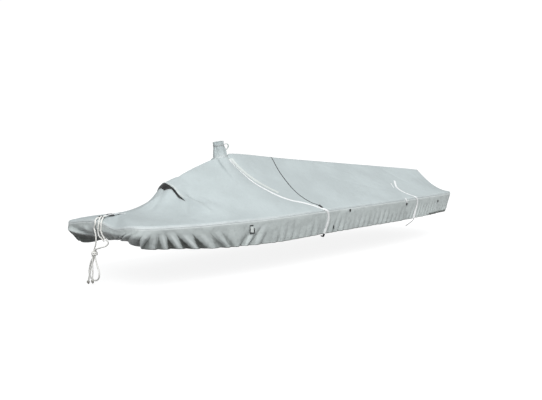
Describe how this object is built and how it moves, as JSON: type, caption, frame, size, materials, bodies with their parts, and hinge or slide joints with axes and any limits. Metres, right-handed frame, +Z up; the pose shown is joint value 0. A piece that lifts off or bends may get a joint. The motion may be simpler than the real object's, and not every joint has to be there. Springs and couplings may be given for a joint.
{
  "type": "boat cover",
  "caption": "Fitted grey cloth cover for a flat dinghy, raised like a tent over its boom, with a gathered skirt, mast collar, hooded vent, tie straps and bow rope.",
  "frame": {"origin": "Under the ridge of the cover, midway along it, where the boom holds the cover up.", "axes": "+X points aft along the boat, +Y to starboard, +Z up."},
  "size_m": [4.9788, 1.7387, 1.3077],
  "materials": {
    "tent_cloth": "matt coated canvas",
    "skirt_cloth": "matt coated canvas",
    "flap_cloth": "matt coated canvas",
    "webbing": "woven webbing",
    "dark_webbing": "woven webbing",
    "rope": "laid rope",
    "black_plastic": "moulded, matt"
  },
  "bodies": {
    "root": {"becket_port": "webbing", "becket_starboard": "webbing", "bow_knot": "rope", "bow_rope_fall": "rope", "bow_rope_loop": "rope", "bow_rope_short": "rope", "bow_rope_tail": "rope", "bow_tab_aft": "dark_webbing", "bow_tab_fore": "dark_webbing", "button_aft_port": "black_plastic", "button_aft_starboard": "black_plastic", "button_fore_port": "black_plastic", "button_fore_starboard": "black_plastic", "clip_port": "black_plastic", "clip_starboard": "black_plastic", "closure_flap_port": "flap_cloth", "closure_flap_starboard": "flap_cloth", "collar_lashing": "dark_webbing", "collar_loop": "webbing", "hem_tab_port": "black_plastic", "hood_binding": "flap_cloth", "hook_aft_port": "black_plastic", "hook_aft_starboard": "black_plastic", "hook_fore_port": "black_plastic", "hook_fore_starboard": "black_plastic", "mast_collar": "tent_cloth", "panel_front": "tent_cloth", "panel_port": "tent_cloth", "panel_starboard": "tent_cloth", "panel_stern": "tent_cloth", "ridge_band": "dark_webbing", "ring_pad_port": "webbing", "ring_port": "black_plastic", "shroud_patch_port": "dark_webbing", "shroud_patch_starboard": "dark_webbing", "skirt_port": "skirt_cloth", "skirt_starboard": "skirt_cloth", "strap_aft_port": "webbing", "strap_aft_starboard": "webbing", "strap_fore_port": "webbing", "strap_fore_starboard": "webbing"}
  },
  "joints": []
}
